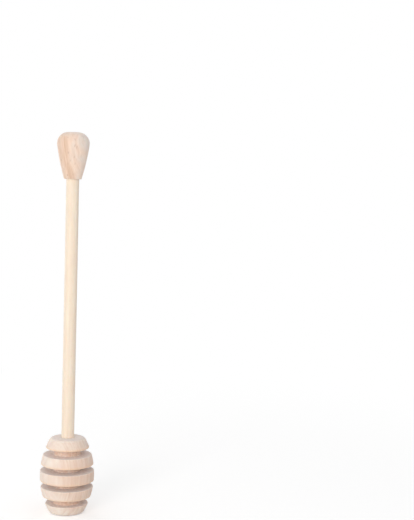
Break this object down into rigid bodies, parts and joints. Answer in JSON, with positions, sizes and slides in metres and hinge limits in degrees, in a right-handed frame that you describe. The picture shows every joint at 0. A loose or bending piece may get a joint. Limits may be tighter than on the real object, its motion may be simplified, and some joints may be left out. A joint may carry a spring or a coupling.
{
  "type": "honey dipper",
  "caption": "Turned wooden honey dipper: a barrel-shaped grooved dipping head on a slim round dowel handle, with a tapered rounded end knob.",
  "frame": {"origin": "centre of the turned flat under the dipping head, on the dipper's axis", "axes": "+Z along the axis from the head towards the end knob; the part is a body of revolution, so X and Y are free"},
  "size_m": [0.0254, 0.0254, 0.178],
  "materials": {
    "head_wood": "pale beech, turned and sanded, unfinished",
    "dowel_wood": "birch dowel, sanded, unfinished",
    "knob_wood": "pinkish beech, turned and sanded, unfinished",
    "glue": "dried wood glue"
  },
  "bodies": {
    "root": {"dipping_head": "head_wood", "handle_dowel": "dowel_wood", "end_knob": "knob_wood", "head_glue": "glue", "knob_glue": "glue"}
  },
  "joints": []
}
